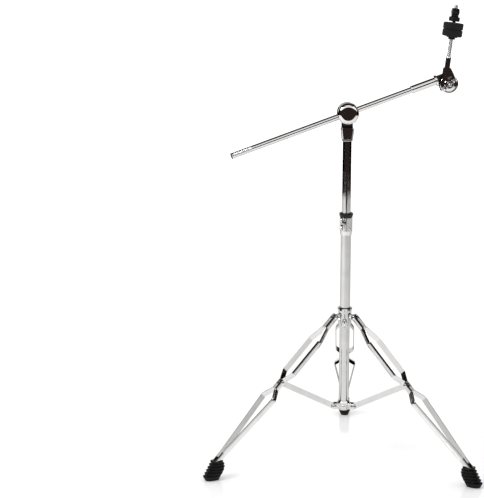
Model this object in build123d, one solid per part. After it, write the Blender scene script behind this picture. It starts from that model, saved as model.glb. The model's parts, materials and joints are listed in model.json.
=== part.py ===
from build123d import *
import math
import os

# Cymbal boom stand: a double-braced tripod, a telescoping column, a boom arm held by a
# round clamp, and a ratchet tilter that carries the cymbal rod, two felts and a T nut.
# Units are millimetres and degrees. +Z is up and the boom lies in the X-Z plane.
# Everything is drawn about the column's axis, with the floor at Z = 0, and moved at the
# very end so that the origin is at the bottom centre of the whole stand's box.

# ---- driving dimensions -------------------------------------------------------------
BASE_TUBE_D = 22.2
UPPER_TUBE_D = 19.05
BOOM_TUBE_D = 12.7
ROD_D = 8.0
FELT_D = 43.0
FELT_H = 14.5
STRIP_W = 13.0
TUBE_WALL = 1.2

RUN_GAP = 0.05          # radial clearance of a running fit
SIDE_GAP = 0.3          # clearance between flat sides that pass each other

LEG_AZIMUTHS = {"right": -34.3, "back": 85.7, "left": 205.7}
LEG_ANGLE = 44.8        # leg from the vertical, standing
LEG_ANGLE_FOLDED = 3.0
LEG_HINGE_R = 25.0
LEG_HINGE_Z = 329.0
LEG_PIVOT_S = 187.0     # from the leg's hinge to the brace's pivot, along the leg
HUB_HINGE_R = 26.0
HUB_HINGE_Z = 125.5

COLUMN_BOTTOM_Z = HUB_HINGE_Z - 9
COLLAR_BOTTOM_Z = 511.0
COLLAR_TOP_Z = 550.0
UPPER_TUBE_BOTTOM_Z = 320.0
NECK_BOTTOM_Z = 721.0
DRUM_Z = 777.0
DRUM_D = 46.0
BOOM_TILT = 20.4        # boom above the horizontal
BOOM_Y = -8.5           # boom axis, in front of the column's axis
BOOM_TAIL = 264.0       # from the clamp's centre to the boom's free end
SOCKET_START = 143.0    # from the clamp's centre to the tilter's socket
RATCHET_ALONG = 222.0   # from the clamp's centre to the ratchet, along the boom
RATCHET_DROP = 15.0     # the ratchet's centre, below the boom's axis
RATCHET_D = 39.0
ROD_LEAN = 7.0          # cymbal rod from the vertical, top to the right
ROD_OFFSET = 9.0        # rod axis, to the left of the ratchet's centre
ROD_TOP = 166.0         # rod's top above the ratchet's centre, along the rod
FELT_BASE = 100.0       # underside of the lower felt, above the ratchet's centre
NUT_GAP = 3.0           # free height between the upper felt and the T nut

# ---- derived dimensions -------------------------------------------------------------
BASE_R = BASE_TUBE_D / 2
UPPER_R = UPPER_TUBE_D / 2
BOOM_R = BOOM_TUBE_D / 2
ROD_R = ROD_D / 2
DRUM_R = DRUM_D / 2
RATCHET_R = RATCHET_D / 2
FELT_R = FELT_D / 2

STRIP_T = 2.2           # thickest at the crown
STRIP_EDGE_T = 1.0
LINK_W = 8.4            # what the strips straddle: lugs and brace ends
PINCH_T = LINK_W / 2 + SIDE_GAP                 # inner face of a strip where the pair is pinched
PIN_R = 2.5
RIVET_HEAD_R = 4.2
RIVET_HEAD_H = 1.6

BRACE_H = 12.5
BRACE_WALL = 1.4

LEG_SIN = math.sin(math.radians(LEG_ANGLE))
LEG_COS = math.cos(math.radians(LEG_ANGLE))
PIVOT_R = LEG_HINGE_R + LEG_PIVOT_S * LEG_SIN
PIVOT_Z = LEG_HINGE_Z - LEG_PIVOT_S * LEG_COS
BRACE_RUN = PIVOT_R - HUB_HINGE_R
BRACE_RISE = PIVOT_Z - HUB_HINGE_Z
BRACE_LENGTH = math.hypot(BRACE_RUN, BRACE_RISE)
BRACE_ANGLE = math.degrees(math.atan2(BRACE_RISE, BRACE_RUN))   # above the horizontal

# Folded: the leg stands LEG_ANGLE_FOLDED off the vertical and its pivot has come in to the brace.
FOLDED_SIN = math.sin(math.radians(LEG_ANGLE_FOLDED))
FOLDED_COS = math.cos(math.radians(LEG_ANGLE_FOLDED))
FOLDED_PIVOT_R = LEG_HINGE_R + LEG_PIVOT_S * FOLDED_SIN
BRACE_ANGLE_FOLDED = math.degrees(math.acos((FOLDED_PIVOT_R - HUB_HINGE_R) / BRACE_LENGTH))
FOLDED_PIVOT_Z = HUB_HINGE_Z + BRACE_LENGTH * math.sin(math.radians(BRACE_ANGLE_FOLDED))
FOLD_TRAVEL = FOLDED_PIVOT_Z + LEG_PIVOT_S * FOLDED_COS - LEG_HINGE_Z

# Where the leg's strips spread and meet again, along the leg, and how far from its mid-plane.
UPPER_SPREAD = 19.0
LOWER_SPREAD = 23.0
LEG_END_S = 412.0

# The rubber foot: heights of its fins, with the inner and outer reach of each from its centre.
FOOT_R = 323.0
FOOT_HALF_W = 14.0
FIN_T = 2.4
FOOT_FINS = [
    (9.5, -20.5, 21.0),
    (15.8, -23.5, 17.0),
    (22.1, -27.5, 12.5),
    (28.4, -30.0, 8.0),
    (34.7, -29.5, 4.0),
    (41.0, -27.0, -1.0),
]


# ---- places -------------------------------------------------------------------------
def drum_place():
    """Clamp centre: local x runs along the boom, local y is the tilt axis."""
    return Pos(0, 0, DRUM_Z) * Rot(0, -BOOM_TILT, 0)


def ratchet_centre():
    tilt = math.radians(BOOM_TILT)
    along = RATCHET_ALONG
    drop = RATCHET_DROP
    x = along * math.cos(tilt) + drop * math.sin(tilt)
    z = DRUM_Z + along * math.sin(tilt) - drop * math.cos(tilt)
    return x, z


def rod_place():
    """Ratchet centre: local z runs up the cymbal rod."""
    x, z = ratchet_centre()
    return Pos(x, 0, z) * Rot(0, ROD_LEAN, 0)


def leg_place(azimuth):
    """Leg hinge: local x runs down the leg, local y is across it."""
    return Rot(0, 0, azimuth) * Pos(LEG_HINGE_R, 0, LEG_HINGE_Z) * Rot(0, 90 - LEG_ANGLE, 0)


def brace_place(azimuth):
    """Brace's lower pivot: local x runs out along the brace, local y is across it."""
    return Rot(0, 0, azimuth) * Pos(HUB_HINGE_R, 0, HUB_HINGE_Z) * Rot(0, -BRACE_ANGLE, 0)


# ---- shape helpers ------------------------------------------------------------------
def rod_z(radius, low, high):
    """Cylinder about Z from low to high."""
    return Pos(0, 0, low) * Cylinder(radius, high - low, align=(Align.CENTER, Align.CENTER, Align.MIN))


def rod_x(radius, low, high):
    """Cylinder about X from low to high."""
    return Pos(low, 0, 0) * Rot(0, 90, 0) * rod_z(radius, 0, high - low)


def rod_y(radius, low, high):
    """Cylinder about Y from low to high."""
    return Pos(0, low, 0) * Rot(-90, 0, 0) * rod_z(radius, 0, high - low)


def tube_z(outer, inner, low, high):
    return rod_z(outer, low, high) - rod_z(inner, low - 1, high + 1)


def block(x0, x1, y0, y1, z0, z1):
    """Box between two corners."""
    size = Box(x1 - x0, y1 - y0, z1 - z0)
    return Pos((x0 + x1) / 2, (y0 + y1) / 2, (z0 + z1) / 2) * size


def spun(points, arcs=()):
    """Solid of revolution about Z from an outline of (radius, height) corners; arcs names the
    corners that are the mid-point of an arc to the next corner."""
    corners = [(radius, 0, height) for radius, height in points]
    edges = []
    index = 0
    count = len(corners)
    while index < count:
        here = corners[index]
        after = corners[(index + 1) % count]
        if (index + 1) in arcs:
            beyond = corners[(index + 2) % count]
            edges.append(ThreePointArc(here, after, beyond))
            index += 2
        else:
            edges.append(Line(here, after))
            index += 1
    return revolve(make_face(Wire(edges)), Axis.Z, 360)


def dome_mid(radius, low, high):
    """Mid-point of a dome's outline, from its rim at low to its top at high on the axis."""
    rise = high - low
    sphere_r = (rise * rise + radius * radius) / (2 * rise)
    half_angle = math.asin(radius / sphere_r) / 2
    return sphere_r * math.sin(half_angle), high - sphere_r * (1 - math.cos(half_angle))


def rivet_head(radius, height):
    """Domed head standing on Z = 0."""
    rim = height * 0.35
    return spun([(0, 0), (radius, 0), (radius, rim), dome_mid(radius, rim, height), (0, height)], arcs=(3,))


def wing(span, height, thickness, root_r):
    """One wing of a wing nut: a rounded plate that rises from the hub and leans outward."""
    lobe_r = height * 0.42
    reach = span / 2 - lobe_r
    root = Pos(root_r, 1.5 + lobe_r * 0.6) * Circle(lobe_r * 0.6)
    lobe = Pos(reach, height - lobe_r) * Circle(lobe_r)
    outline = make_hull(root.edges() + lobe.edges())
    return extrude(Plane.XZ * outline, thickness / 2, both=True)


def wing_head(span, height, hub_r, hub_h, thickness):
    """Hub with two wings, standing on Z = 0, its axis along Z."""
    hub = spun([(0, 0), (hub_r, 0), (hub_r, 1.5), (hub_r * 0.8, hub_h), (0, hub_h)])
    right = wing(span, height, thickness, hub_r * 0.5)
    left = Rot(0, 0, 180) * right
    return hub + right + left


def tooth_ring(inner, outer, depth, count):
    """Ring of radial ridges on Z = 0, each a triangle in section."""
    pitch = 2 * math.pi * inner / count
    ridge_face = make_face(Polyline((-pitch / 2, -0.5), (0, depth), (pitch / 2, -0.5), close=True))
    ridge = Pos(inner, 0, 0) * extrude(Plane.YZ * ridge_face, outer - inner)
    return [Rot(0, 0, 360 * step / count) * ridge for step in range(count)]


def toothed(disc, place, inner, outer, depth, count):
    """The disc with a ring of ridges added at a place whose local z points out of its face."""
    ridges = tooth_ring(inner, outer, depth, count)
    return disc + [place * ridge for ridge in ridges]


# ---- column -------------------------------------------------------------------------
COLLAR_R = 13.6
BUSH_R = 12.4
BUSH_LIP_R = 15.2
COLLAR_RIVET_R = 3.0


def base_tube():
    return tube_z(BASE_R, BASE_R - TUBE_WALL, COLUMN_BOTTOM_Z, COLLAR_TOP_Z - 16)


def height_collar():
    """Cast collar on the column's mouth: skirt, shoulder, and a boss for the wing bolt."""
    body = spun([
        (BASE_R, COLLAR_BOTTOM_Z), (12.2, COLLAR_BOTTOM_Z), (12.9, COLLAR_BOTTOM_Z + 6),
        (COLLAR_R, COLLAR_BOTTOM_Z + 9), (COLLAR_R, COLLAR_TOP_Z - 1), (COLLAR_R - 1, COLLAR_TOP_Z),
        (BUSH_R, COLLAR_TOP_Z), (BUSH_R, COLLAR_TOP_Z - 15.7), (BASE_R, COLLAR_TOP_Z - 15.7),
    ])
    boss = height_bolt_place() * rod_z(5.6, 11.3, 18.5)
    hole = height_bolt_place() * rod_z(3.1, 0, 30)
    collar = body + boss - rod_z(BASE_R, COLLAR_BOTTOM_Z - 1, COLLAR_TOP_Z - 15.7)
    collar = collar - rod_z(BUSH_R, COLLAR_TOP_Z - 15.7, COLLAR_TOP_Z + 1)
    return collar - hole - collar_rivet_place() * rod_z(COLLAR_RIVET_R, COLLAR_R - 0.8, COLLAR_R + 2)


def height_bushing():
    """Nylon bushing in the collar, with a flared lip on top, that the upper tube slides in."""
    lip_low = COLLAR_TOP_Z + 1.0
    lip_high = COLLAR_TOP_Z + 9.5
    bush = spun([
        (UPPER_R + RUN_GAP, COLLAR_TOP_Z - 15.5), (BUSH_R, COLLAR_TOP_Z - 15.5),
        (BUSH_R, COLLAR_TOP_Z + 0.2), (13.8, lip_low), (BUSH_LIP_R, lip_high - 3.0),
        (BUSH_LIP_R, lip_high - 1.0),
        (BUSH_LIP_R - 1.2, lip_high), (UPPER_R + RUN_GAP, lip_high - 1.5),
    ])
    hole = height_bolt_place() * rod_z(3.1, 0, 30)
    return bush - hole


def height_bolt_place():
    """Wing bolt of the height collar: local z points out of the column."""
    return Rot(0, 0, 245) * Pos(0, 0, COLLAR_TOP_Z - 11) * Rot(0, 90, 0)


def wing_bolt(inner_end, outer_start):
    """Wing bolt along Z: its shank's tip at inner_end and its head's seat at outer_start."""
    head = Pos(0, 0, outer_start) * wing_head(27, 12, 5.0, 6.5, 2.8)
    return head + rod_z(3.0, inner_end, outer_start + 1)


def height_wing_bolt():
    return height_bolt_place() * wing_bolt(UPPER_R + SIDE_GAP, 18.5 + SIDE_GAP)


def collar_rivet_place():
    return Rot(0, 0, -60) * Pos(0, 0, COLLAR_BOTTOM_Z + 15) * Rot(0, 90, 0)


def collar_rivet():
    """Rivet that holds the collar on the column."""
    return collar_rivet_place() * (Pos(0, 0, COLLAR_R - 0.8) * rivet_head(COLLAR_RIVET_R, 2.2))


# ---- brace hub ----------------------------------------------------------------------
HUB_R = 14.2
CHEEK_T = 3.0
LOBE_R = 6.6
HUB_HALF_H = 10.5
HUB_SLOT_R = 16.5
HUB_SCREW_R = 3.6


def brace_hub():
    """Domed casting at the column's foot with three forked lobes for the braces."""
    low = HUB_HINGE_Z - HUB_HALF_H
    high = HUB_HINGE_Z + HUB_HALF_H
    body = spun([
        (0, low), (HUB_R - 2, low), (HUB_R, low + 2),
        (HUB_R, high - 4), (BASE_R + 1.2, high), (0, high),
    ])
    half_w = LINK_W / 2 + SIDE_GAP + CHEEK_T
    for azimuth in LEG_AZIMUTHS.values():
        arm = Pos(0, 0, HUB_HINGE_Z) * block(8, HUB_HINGE_R, -half_w, half_w, -LOBE_R, LOBE_R)
        nose = Pos(HUB_HINGE_R, 0, HUB_HINGE_Z) * rod_y(LOBE_R, -half_w, half_w)
        lobe = arm + nose
        lobe = fillet(lobe.edges().filter_by(GeomType.CIRCLE), 1.6)
        body = body + Rot(0, 0, azimuth) * lobe
    for azimuth in LEG_AZIMUTHS.values():
        slot_w = LINK_W / 2 + SIDE_GAP
        slot = Pos(0, 0, HUB_HINGE_Z) * block(HUB_SLOT_R, 45, -slot_w, slot_w, -20, 20)
        pin_hole = Pos(HUB_HINGE_R, 0, HUB_HINGE_Z) * rod_y(PIN_R, -20, 20)
        body = body - Rot(0, 0, azimuth) * (slot + pin_hole)
    socket = rod_z(BASE_R, COLUMN_BOTTOM_Z, high + 1)
    seat = hub_screw_place() * rod_z(HUB_SCREW_R, HUB_R - 0.4, 20)
    return body - socket - seat - hub_screw_place() * rod_z(2.0, 9, 20)


def brace_hub_pins():
    """Three pins that the braces turn on, each with a domed head at both ends."""
    half = LINK_W / 2 + SIDE_GAP + CHEEK_T
    head = rivet_head(RIVET_HEAD_R, RIVET_HEAD_H)
    pin = rod_y(PIN_R, -half, half)
    pin = pin + Pos(0, half, 0) * Rot(-90, 0, 0) * head + Pos(0, -half, 0) * Rot(90, 0, 0) * head
    pins = []
    for azimuth in LEG_AZIMUTHS.values():
        pins.append(Rot(0, 0, azimuth) * Pos(HUB_HINGE_R, 0, HUB_HINGE_Z) * pin)
    return Compound(children=pins)


def hub_screw_place():
    return Rot(0, 0, -95) * Pos(0, 0, HUB_HINGE_Z - 1) * Rot(0, 90, 0)


def hub_set_screw():
    """Cross-head screw that fixes the hub to the column."""
    head = Pos(0, 0, HUB_R - 0.4) * rivet_head(HUB_SCREW_R, 2.2)
    shank = rod_z(2.0, BASE_R, HUB_R)
    slot = block(-2.2, 2.2, -0.4, 0.4, HUB_R + 0.8, HUB_R + 3)
    cross = slot + Rot(0, 0, 90) * slot
    return hub_screw_place() * (head + shank - cross)


# ---- leg collar ---------------------------------------------------------------------
LEG_COLLAR_R = 14.4
LEG_COLLAR_LOW = LEG_HINGE_Z - 23
LEG_COLLAR_HIGH = LEG_HINGE_Z + 19
LINER_R = 12.3
LUG_R = 5.2


def leg_bolt_place():
    """Wing bolt of the leg collar, between the two front legs: local z points outward."""
    return Rot(0, 0, -95) * Pos(0, 0, LEG_HINGE_Z - 10) * Rot(0, 90, 0)


def leg_collar():
    """Sliding casting with three lugs for the legs and a boss for its wing bolt."""
    body = spun([
        (0, LEG_COLLAR_LOW), (LEG_COLLAR_R - 1.5, LEG_COLLAR_LOW), (LEG_COLLAR_R, LEG_COLLAR_LOW + 2),
        (LEG_COLLAR_R, LEG_COLLAR_HIGH - 6), (LEG_COLLAR_R + 1.8, LEG_COLLAR_HIGH - 2),
        (LEG_COLLAR_R + 1.2, LEG_COLLAR_HIGH), (0, LEG_COLLAR_HIGH),
    ])
    for azimuth in LEG_AZIMUTHS.values():
        arm = Pos(0, 0, LEG_HINGE_Z) * block(8, LEG_HINGE_R, -LINK_W / 2, LINK_W / 2, -LUG_R, LUG_R)
        nose = Pos(LEG_HINGE_R, 0, LEG_HINGE_Z) * rod_y(LUG_R, -LINK_W / 2, LINK_W / 2)
        hole = Pos(LEG_HINGE_R, 0, LEG_HINGE_Z) * rod_y(PIN_R, -10, 10)
        body = body + Rot(0, 0, azimuth) * (arm + nose)
        body = body - Rot(0, 0, azimuth) * hole
    boss = leg_bolt_place() * rod_z(6.0, 10, 19.5)
    body = body + boss - leg_bolt_place() * rod_z(3.1, 0, 30)
    return body - rod_z(LINER_R, LEG_COLLAR_LOW - 1, LEG_COLLAR_HIGH + 1)


def leg_collar_liner():
    """Nylon liner between the leg collar and the column."""
    liner = tube_z(LINER_R, BASE_R + RUN_GAP, LEG_COLLAR_LOW + 0.5, LEG_COLLAR_HIGH - 0.5)
    return liner - leg_bolt_place() * rod_z(3.1, 0, 30)


def leg_wing_bolt():
    return leg_bolt_place() * wing_bolt(BASE_R + SIDE_GAP, 19.5 + SIDE_GAP)


def leg_hinge_pins():
    """Three hinge pins pressed in the collar's lugs, with heads outside the strips."""
    reach = PINCH_T + STRIP_T + SIDE_GAP
    head = rivet_head(RIVET_HEAD_R, RIVET_HEAD_H)
    pin = rod_y(PIN_R, -reach, reach)
    pin = pin + Pos(0, reach, 0) * Rot(-90, 0, 0) * head + Pos(0, -reach, 0) * Rot(90, 0, 0) * head
    pins = []
    for azimuth in LEG_AZIMUTHS.values():
        pins.append(Rot(0, 0, azimuth) * Pos(LEG_HINGE_R, 0, LEG_HINGE_Z) * pin)
    return Compound(children=pins)


# ---- legs ---------------------------------------------------------------------------
def strip_path():
    """Mid-line of one strip in the leg's own plane: (distance down the leg, distance across)."""
    pinch = PINCH_T
    return [
        (-8, pinch), (32, pinch), (68, UPPER_SPREAD), (LEG_PIVOT_S - 28, UPPER_SPREAD),
        (LEG_PIVOT_S - 8, pinch), (LEG_PIVOT_S + 20, pinch), (LEG_PIVOT_S + 42, LOWER_SPREAD),
        (LEG_END_S - 28, pinch), (LEG_END_S, pinch),
    ]


def strip_section():
    """Cross-section of a strip: flat inside, crowned outside. Local x is across the leg."""
    half = STRIP_W / 2
    flat = Polyline((STRIP_EDGE_T, half), (0.3, half), (0, half - 0.3), (0, -half + 0.3), (0.3, -half),
                    (STRIP_EDGE_T, -half))
    crown = ThreePointArc((STRIP_EDGE_T, -half), (STRIP_T, 0), (STRIP_EDGE_T, half))
    return make_face([flat, crown])


def leg_strip(side):
    """One of the two bent strips of a leg, in the leg's frame; side is 1 or -1."""
    path = FilletPolyline(*[(s, t, 0) for s, t in strip_path()], radius=7)
    start = Plane(origin=path @ 0, x_dir=(0, 1, 0), z_dir=(1, 0, 0))
    bar = sweep(start * strip_section(), path=path)
    outline = block(0, LEG_END_S, 0, 40, -STRIP_W / 2, STRIP_W / 2) + rod_y(STRIP_W / 2, 0, 40)
    bar = bar & outline
    bar = bar - rod_y(PIN_R + RUN_GAP, 0, 40)
    bar = bar - Pos(LEG_PIVOT_S, 0, 0) * rod_y(PIN_R, 0, 40)
    if side < 0:
        bar = mirror(bar, Plane.XZ)
    return bar


def leg_rivets():
    """The two half rivets at the leg's middle: a head outside each strip, shank in its hole."""
    outside = PINCH_T + STRIP_T
    head = Pos(0, outside, 0) * Rot(-90, 0, 0) * rivet_head(RIVET_HEAD_R, RIVET_HEAD_H)
    half = Pos(LEG_PIVOT_S, 0, 0) * (rod_y(PIN_R, PINCH_T, outside) + head)
    return Compound(children=[half, mirror(half, Plane.XZ)])


def fin(height, inner, outer, width):
    """One horizontal fin of the foot: an ellipse between its inner and outer reach."""
    plate = extrude(Ellipse((outer - inner) / 2, width), FIN_T)
    return Pos(FOOT_R + (inner + outer) / 2, 0, height - FIN_T / 2) * plate


def rubber_foot():
    """Ribbed rubber boot, in the upright plane of its leg, standing on Z = 0."""
    low = FOOT_FINS[0]
    top = FOOT_FINS[-1]
    mid_low = FOOT_R + (low[1] + low[2]) / 2
    mid_top = FOOT_R + (top[1] + top[2]) / 2
    half_low = (low[2] - low[1]) / 2
    half_top = (top[2] - top[1]) / 2
    core = loft([
        Pos(mid_low, 0, low[0] - 1) * Ellipse(half_low - 3.5, FOOT_HALF_W - 2.5),
        Pos(mid_top, 0, top[0]) * Ellipse(half_top - 1.0, FOOT_HALF_W - 3.0),
    ])
    sole = loft([
        Pos(mid_low - 1.5, 0, 0) * Ellipse(half_low - 4.0, FOOT_HALF_W - 3.5),
        Pos(mid_low, 0, 5) * Ellipse(half_low, FOOT_HALF_W),
    ])
    welt = Pos(mid_low, 0, 5) * extrude(Ellipse(half_low, FOOT_HALF_W), low[0] + FIN_T / 2 - 5)
    foot = core + sole + welt
    for height, inner, outer in FOOT_FINS[1:]:
        foot = foot + fin(height, inner, outer, FOOT_HALF_W - 0.03 * height)
    pocket = leg_place(0) * block(0, LEG_END_S, PINCH_T - 0.05, PINCH_T + STRIP_T + 0.05,
                                  -STRIP_W / 2 - 0.05, STRIP_W / 2 + 0.05)
    foot = foot - pocket - mirror(pocket, Plane.XZ)
    return foot


# ---- braces -------------------------------------------------------------------------
BUSH_WALL = 0.9


def brace():
    """Channel, open below, with rounded eyes at both ends, in the brace's frame."""
    half = BRACE_H / 2
    half_w = LINK_W / 2
    bar = block(0, BRACE_LENGTH, -half_w, half_w, -half, half)
    bar = bar + rod_y(half, -half_w, half_w)
    bar = bar + Pos(BRACE_LENGTH, 0, 0) * rod_y(half, -half_w, half_w)
    inside = half_w - BRACE_WALL
    hollow = block(-half - 1, BRACE_LENGTH + half + 1, -inside, inside, -half - 1, half - BRACE_WALL)
    bar = bar - hollow - rod_y(PIN_R + RUN_GAP, -10, 10)
    return bar - Pos(BRACE_LENGTH, 0, 0) * rod_y(PIN_R + BUSH_WALL, -10, 10)


def brace_bush():
    """Eyelet in the brace's outer eye."""
    half_w = LINK_W / 2
    bush = rod_y(PIN_R + BUSH_WALL, -half_w, half_w) - rod_y(PIN_R, -10, 10)
    return Pos(BRACE_LENGTH, 0, 0) * bush


# ---- upper tube and boom clamp ------------------------------------------------------
NECK_SOCKET_TOP = DRUM_Z - 31
NECK_DEPTH = 24.0
EAR_FRONT = 3.4
EAR_BACK = 17.0
EAR_R = 22.0
BOLT_R = 4.0
TOOTH_DEPTH = 0.9
TOOTH_COUNT = 30


def upper_tube():
    return tube_z(UPPER_R, UPPER_R - TUBE_WALL, UPPER_TUBE_BOTTOM_Z, NECK_BOTTOM_Z + 20)


def upper_tube_plug():
    """Plastic plug in the upper tube's lower end."""
    plug = rod_z(UPPER_R - TUBE_WALL, UPPER_TUBE_BOTTOM_Z, UPPER_TUBE_BOTTOM_Z + 12)
    flange = rod_z(UPPER_R - 0.2, UPPER_TUBE_BOTTOM_Z - 2, UPPER_TUBE_BOTTOM_Z)
    return plug + flange


def neck_ring():
    """Bright ring under the neck."""
    return spun([
        (UPPER_R + RUN_GAP, NECK_BOTTOM_Z - 4), (11.4, NECK_BOTTOM_Z - 4), (11.9, NECK_BOTTOM_Z - 3),
        (11.9, NECK_BOTTOM_Z - 0.6), (11.4, NECK_BOTTOM_Z), (UPPER_R + RUN_GAP, NECK_BOTTOM_Z),
    ])


def tilter_neck():
    """Casting on the upper tube: a flared socket with a round ear behind the clamp."""
    low = Pos(0, 0, NECK_BOTTOM_Z) * RectangleRounded(24, NECK_DEPTH, 4.5)
    mid = Pos(0, 0, NECK_SOCKET_TOP - 4) * RectangleRounded(28.5, NECK_DEPTH, 4.5)
    high = Pos(0, 0, NECK_SOCKET_TOP) * RectangleRounded(24.5, NECK_DEPTH, 4.5)
    socket = loft([low, mid]) + loft([mid, high])
    web = block(-12, 12, EAR_FRONT, EAR_BACK - 1, NECK_SOCKET_TOP - 12, DRUM_Z)
    ear = Pos(0, 0, DRUM_Z) * rod_y(EAR_R, EAR_FRONT, EAR_BACK)
    ear = fillet(ear.edges().group_by(Axis.Y)[-1], 1.5)
    face = Pos(0, EAR_FRONT, DRUM_Z) * Rot(90, 0, 0)
    neck = toothed(socket + web + ear, face, 12, EAR_R - 1, TOOTH_DEPTH, TOOTH_COUNT)
    neck = neck - rod_z(UPPER_R + RUN_GAP, NECK_BOTTOM_Z - 1, NECK_BOTTOM_Z + 20.3)
    return neck - Pos(0, 0, DRUM_Z) * rod_y(BOLT_R + RUN_GAP, -30, 40)


def tilter_washer():
    washer = rod_y(9.0, EAR_BACK + 0.1, EAR_BACK + 1.7) - rod_y(BOLT_R + SIDE_GAP, 0, 40)
    return Pos(0, 0, DRUM_Z) * washer


EYE_R = 9.4
EYE_HALF_W = 5.0
DRUM_BACK = 1.3
DOME_FRONT = -28.5
RIM_FRONT = -18.5
FACE_R = 13.0
SIN_45 = math.sin(math.radians(45))


def clamp_cavity():
    """What the clamp's two halves leave open: the boom's channel and the eye bolt's pocket."""
    channel = Pos(0, BOOM_Y, 0) * rod_x(BOOM_R + RUN_GAP, -40, 40)
    pocket = Pos(0, BOOM_Y, 0) * rod_x(EYE_R + 0.1, -EYE_HALF_W - 0.1, EYE_HALF_W + 0.1)
    return channel + pocket + rod_y(BOLT_R + 0.1, BOOM_Y, 20)


def clamp_drum():
    """Rear half of the round clamp, with ridges that meet the neck's ear."""
    disc = rod_y(DRUM_R, BOOM_Y + 0.25, DRUM_BACK)
    face = Pos(0, DRUM_BACK, 0) * Rot(-90, 0, 0)
    disc = toothed(disc, face, 12, DRUM_R - 2, TOOTH_DEPTH, TOOTH_COUNT)
    return drum_place() * (disc - clamp_cavity())


def clamp_cap():
    """Front half of the round clamp: a rim, a full round shoulder and a flat face."""
    shoulder_depth = RIM_FRONT - DOME_FRONT
    shoulder = (FACE_R + (DRUM_R - FACE_R) * SIN_45, -RIM_FRONT + shoulder_depth * SIN_45)
    # The outline is (radius, distance in front of the column's axis).
    dome = spun([
        (0, -BOOM_Y + 0.25), (DRUM_R, -BOOM_Y + 0.25), (DRUM_R, -RIM_FRONT), shoulder,
        (FACE_R, -DOME_FRONT), (0, -DOME_FRONT),
    ], arcs=(3,))
    dome = Rot(90, 0, 0) * dome
    return drum_place() * (dome - clamp_cavity())


def eye_bolt():
    """Eye that grips the boom, with a threaded shank through the neck's ear."""
    eye = Pos(0, BOOM_Y, 0) * (rod_x(EYE_R, -EYE_HALF_W, EYE_HALF_W) - rod_x(BOOM_R + RUN_GAP, -20, 20))
    shank = rod_y(BOLT_R, BOOM_Y + BOOM_R + 1, EAR_BACK + 20)
    return drum_place() * (eye + shank)


def tilter_wing_nut():
    """Wing nut behind the neck's ear."""
    nut = wing_head(36, 17, 7.5, 11, 3.4) - rod_z(BOLT_R + RUN_GAP, -5, 40)
    place = Pos(0, EAR_BACK + 2.0, DRUM_Z) * Rot(-90, 0, 0) * Rot(0, 0, 25)
    return place * nut


# ---- boom and cymbal tilter ---------------------------------------------------------
SOCKET_R = 8.2
SOCKET_END = RATCHET_ALONG - RATCHET_R - 0.8
FLANGE_R = 12.0
FLANGE_T = 4.5
HALF_DISC_T = 9.0
ARM_BACK = BOOM_Y + HALF_DISC_T + 0.6
BOOM_TUBE_END = SOCKET_END - 4
RATCHET_BOLT_R = 3.5
ROD_Y = BOOM_Y - 5.7


def boom_tube():
    outer = rod_x(BOOM_R, -BOOM_TAIL, BOOM_TUBE_END)
    bore = rod_x(BOOM_R - TUBE_WALL, -BOOM_TAIL - 1, BOOM_TUBE_END + 1)
    return drum_place() * Pos(0, BOOM_Y, 0) * (outer - bore)


def boom_end_plug():
    """Plug in the boom's free end."""
    plug = rod_x(BOOM_R - TUBE_WALL, -BOOM_TAIL, -BOOM_TAIL + 10)
    button = rod_x(BOOM_R, -BOOM_TAIL - 2.5, -BOOM_TAIL)
    button = fillet(button.edges().group_by(Axis.X)[0], 1.2)
    return drum_place() * Pos(0, BOOM_Y, 0) * (plug + button)


def ratchet_socket():
    """Sleeve that the boom's end is fixed in."""
    sleeve = rod_x(SOCKET_R, SOCKET_START, SOCKET_END)
    sleeve = fillet(sleeve.edges().group_by(Axis.X)[0], 1.0)
    sleeve = sleeve - rod_x(BOOM_R + RUN_GAP, SOCKET_START - 1, SOCKET_END + 1)
    return drum_place() * Pos(0, BOOM_Y, 0) * sleeve


def ratchet_lower():
    """Boom side of the ratchet: a flange on the sleeve, an arm and a toothed disc."""
    flange = rod_x(FLANGE_R, SOCKET_END - FLANGE_T, SOCKET_END)
    flange = fillet(flange.edges(), 0.8) - rod_x(SOCKET_R, 0, SOCKET_END)
    flange = Pos(0, BOOM_Y, 0) * (flange + rod_x(FLANGE_R - 2, SOCKET_END, SOCKET_END + 0.5))
    arm = block(SOCKET_END, RATCHET_ALONG, BOOM_Y + TOOTH_DEPTH + 0.2, ARM_BACK, -RATCHET_DROP - 9, 9)
    disc = Pos(RATCHET_ALONG, 0, -RATCHET_DROP) * rod_y(RATCHET_R, BOOM_Y + TOOTH_DEPTH + 0.2, ARM_BACK)
    disc = fillet(disc.edges().group_by(Axis.Y)[-1], 1.5)
    corner = rod_y(RATCHET_DROP + RATCHET_R, -30, 30)
    arm = arm & (Pos(RATCHET_ALONG, 0, -RATCHET_DROP) * corner)
    face = Pos(RATCHET_ALONG, BOOM_Y + TOOTH_DEPTH + 0.2, -RATCHET_DROP) * Rot(90, 0, 0)
    half = toothed(flange + arm + disc, face, 11, RATCHET_R - 1, TOOTH_DEPTH, TOOTH_COUNT)
    hole = Pos(RATCHET_ALONG, 0, -RATCHET_DROP) * rod_y(RATCHET_BOLT_R + 0.1, -40, 40)
    return drum_place() * (half - hole)


def ratchet_bolt():
    """Bolt through both ratchet halves, its head behind."""
    x, z = ratchet_centre()
    shank = rod_y(RATCHET_BOLT_R, BOOM_Y - 32, ARM_BACK)
    head = Pos(0, ARM_BACK, 0) * Rot(-90, 0, 0) * extrude(RegularPolygon(6.2, 6), 4.5)
    return Pos(x, 0, z) * (shank + head)


DISC_FRONT = BOOM_Y - 11.4
DISC_BACK = BOOM_Y - 0.2 - TOOTH_DEPTH
NECK_TOP = 34.0
SLEEVE_TOP = 57.0


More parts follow.
